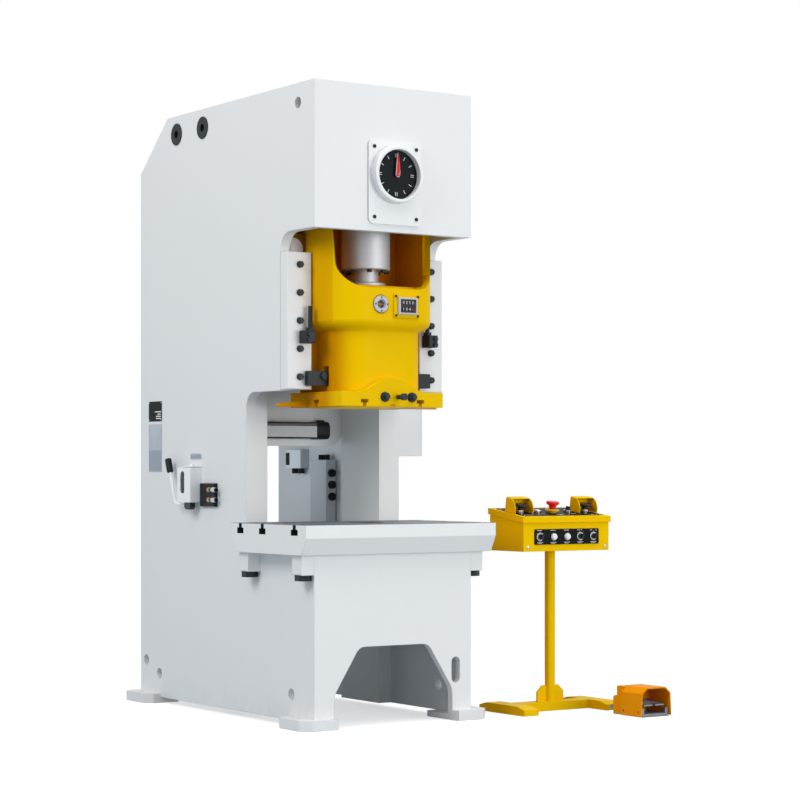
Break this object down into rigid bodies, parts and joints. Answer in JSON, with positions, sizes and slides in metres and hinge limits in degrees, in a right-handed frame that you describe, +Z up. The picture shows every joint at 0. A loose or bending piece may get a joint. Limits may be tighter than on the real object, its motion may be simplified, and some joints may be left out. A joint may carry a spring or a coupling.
{
  "type": "pneumatic power press",
  "caption": "C-frame pneumatic power press with a crank-driven ram, slotted bolster, stroke dial, two-hand control stand and hooded foot switch.",
  "frame": {"origin": "on the floor, in the middle of the four anchor bolts", "axes": "+X to the right seen from the front, +Y to the back, +Z up"},
  "size_m": [1.53, 1.786, 2.44],
  "materials": {
    "frame_paint": "light satin enamel",
    "ram_paint": "yellow gloss enamel",
    "console_paint": "yellow powder coat",
    "switch_paint": "orange powder coat",
    "bolster_steel": "painted sides, ground top",
    "black_steel": "black oxide",
    "bush_steel": "dark oiled steel",
    "bright_steel": "turned and ground",
    "bush_bronze": "turned bronze",
    "wheel_iron": "cast, rim machined",
    "motor_paint": "grey enamel",
    "belt_rubber": "ribbed rubber",
    "dial_paint": "white enamel",
    "dial_black": "matt black",
    "pointer_red": "red enamel",
    "lamp_grey": "frosted cover",
    "black_plastic": "moulded",
    "box_grey": "grey enamel",
    "cabinet_paint": "light powder coat",
    "tank_paint": "silver grey enamel",
    "panel_black": "matt panel",
    "collar_chrome": "polished",
    "knob_black": "moulded",
    "stop_red": "moulded",
    "stop_yellow": "moulded",
    "button_white": "moulded",
    "pedal_metal": "die cast"
  },
  "bodies": {
    "frame": {"side_plate_left": "frame_paint", "side_plate_right": "frame_paint", "front_plates": "frame_paint", "cross_plates": "frame_paint", "inner_columns": "frame_paint", "foot_plates": "frame_paint", "bolster_ears": "frame_paint", "gibs": "frame_paint", "rear_cover": "frame_paint", "bolster": "bolster_steel", "lifting_bushes": "bush_steel", "hex_bolts": "black_steel", "knockout_stops": "black_steel", "dial_housing": "dial_paint", "dial_face": "dial_black", "crank_bushes": "bush_bronze", "work_lamp": "lamp_grey", "lamp_caps": "black_plastic", "cable_glands": "black_plastic", "oil_manifold": "black_plastic", "sensor_box": "box_grey", "junction_box": "box_grey", "cabinet": "cabinet_paint", "oil_tank": "tank_paint", "motor": "motor_paint", "drive_belts": "belt_rubber", "console_stand": "console_paint", "console_box": "console_paint", "console_lid": "console_paint", "palm_guards": "console_paint", "console_panels": "panel_black", "button_collars": "collar_chrome", "stop_base": "stop_yellow", "pedal_hood": "switch_paint", "pedal_base": "pedal_metal"},
    "ram": {"ram": "ram_paint", "connecting_rod": "bright_steel", "ball_screw": "bright_steel", "sight_ring": "bright_steel", "height_counter": "bright_steel", "clamp_studs": "black_steel"},
    "crank": {"crankshaft": "bright_steel", "dial_pointer": "pointer_red"},
    "knockout": {"knockout_bar": "black_steel"},
    "flywheel_body": {"flywheel": "wheel_iron"},
    "pulley_body": {"motor_pulley": "wheel_iron"},
    "lever": {"oil_lever": "tank_paint", "oil_grip": "black_plastic"},
    "door": {"cabinet_door": "cabinet_paint"},
    "palm_left": {"palm_button_left": "knob_black"},
    "palm_right": {"palm_button_right": "knob_black"},
    "stop": {"stop_button": "stop_red"},
    "push": {"top_button": "collar_chrome"},
    "turn_top": {"top_selector": "knob_black"},
    "turn_left": {"selector_left": "knob_black"},
    "turn_middle": {"selector_middle": "knob_black"},
    "turn_right": {"selector_right": "knob_black"},
    "white_left": {"white_button_left": "button_white"},
    "white_right": {"white_button_right": "button_white"},
    "treadle": {"pedal": "pedal_metal"}
  },
  "joints": [
    {"name": "ram_slide", "type": "slide", "parent": "frame", "child": "ram", "axis": [0, 0, 1], "range_m": [-0.14, 0]},
    {"name": "crank_turn", "type": "hinge", "parent": "frame", "child": "crank", "pos_m": [0, -0.5, 2.104], "axis": [0, 1, 0], "range_deg": [0, 180]},
    {"name": "knockout_slide", "type": "slide", "parent": "ram", "child": "knockout", "axis": [0, 0, 1], "range_m": [0, 0.018]},
    {"name": "flywheel_spin", "type": "hinge", "parent": "frame", "child": "flywheel_body", "pos_m": [0, 0.317, 2.104], "axis": [0, 1, 0], "continuous": true},
    {"name": "pulley_spin", "type": "hinge", "parent": "frame", "child": "pulley_body", "pos_m": [0, 0.317, 1.513], "axis": [0, 1, 0], "continuous": true},
    {"name": "oil_lever_pump", "type": "hinge", "parent": "frame", "child": "lever", "pos_m": [-0.396, 0.208, 0.828], "axis": [1, 0, 0], "range_deg": [-40, 0]},
    {"name": "cabinet_door_swing", "type": "hinge", "parent": "frame", "child": "door", "pos_m": [0.5605, 0.528, 1.417], "axis": [0, 0, 1], "range_deg": [0, 120]},
    {"name": "palm_left_press", "type": "slide", "parent": "frame", "child": "palm_left", "axis": [0, -0.1379, 0.9904], "range_m": [-0.006, 0], "stiffness_N_per_m": 2000, "springref_m": 0.002},
    {"name": "palm_right_press", "type": "slide", "parent": "frame", "child": "palm_right", "axis": [0, -0.1379, 0.9904], "range_m": [-0.006, 0], "stiffness_N_per_m": 2000, "springref_m": 0.002},
    {"name": "stop_press", "type": "slide", "parent": "frame", "child": "stop", "axis": [0, -0.1379, 0.9904], "range_m": [-0.0055, 0], "stiffness_N_per_m": 2000, "springref_m": 0.002},
    {"name": "top_button_press", "type": "slide", "parent": "frame", "child": "push", "axis": [0, -0.1379, 0.9904], "range_m": [-0.003, 0], "stiffness_N_per_m": 2000, "springref_m": 0.002},
    {"name": "top_selector_turn", "type": "hinge", "parent": "frame", "child": "turn_top", "pos_m": [0.903, -0.622, 0.80178], "axis": [0, -0.1379, 0.9904], "range_deg": [-45, 45]},
    {"name": "selector_left_turn", "type": "hinge", "parent": "frame", "child": "turn_left", "pos_m": [0.689, -0.715, 0.708], "axis": [0, -1, 0], "range_deg": [-45, 45]},
    {"name": "selector_middle_turn", "type": "hinge", "parent": "frame", "child": "turn_middle", "pos_m": [0.893, -0.715, 0.708], "axis": [0, -1, 0], "range_deg": [-45, 45]},
    {"name": "selector_right_turn", "type": "hinge", "parent": "frame", "child": "turn_right", "pos_m": [0.961, -0.715, 0.708], "axis": [0, -1, 0], "range_deg": [-45, 45]},
    {"name": "white_left_press", "type": "slide", "parent": "frame", "child": "white_left", "axis": [0, 1, 0], "range_m": [0, 0.004], "stiffness_N_per_m": 2000, "springref_m": -0.002},
    {"name": "white_right_press", "type": "slide", "parent": "frame", "child": "white_right", "axis": [0, 1, 0], "range_m": [0, 0.004], "stiffness_N_per_m": 2000, "springref_m": -0.002},
    {"name": "pedal_press", "type": "hinge", "parent": "frame", "child": "treadle", "pos_m": [1.016, -0.93, 0.052], "axis": [1, 0, 0], "range_deg": [0, 13], "stiffness_Nm_per_rad": 8, "springref_deg": -8.59}
  ],
  "couplings": [
    {"joint": "crank_turn", "follows": "ram_slide", "rad_per_m": -22.43},
    {"joint": "pulley_spin", "follows": "flywheel_spin", "ratio": 3.5688}
  ]
}
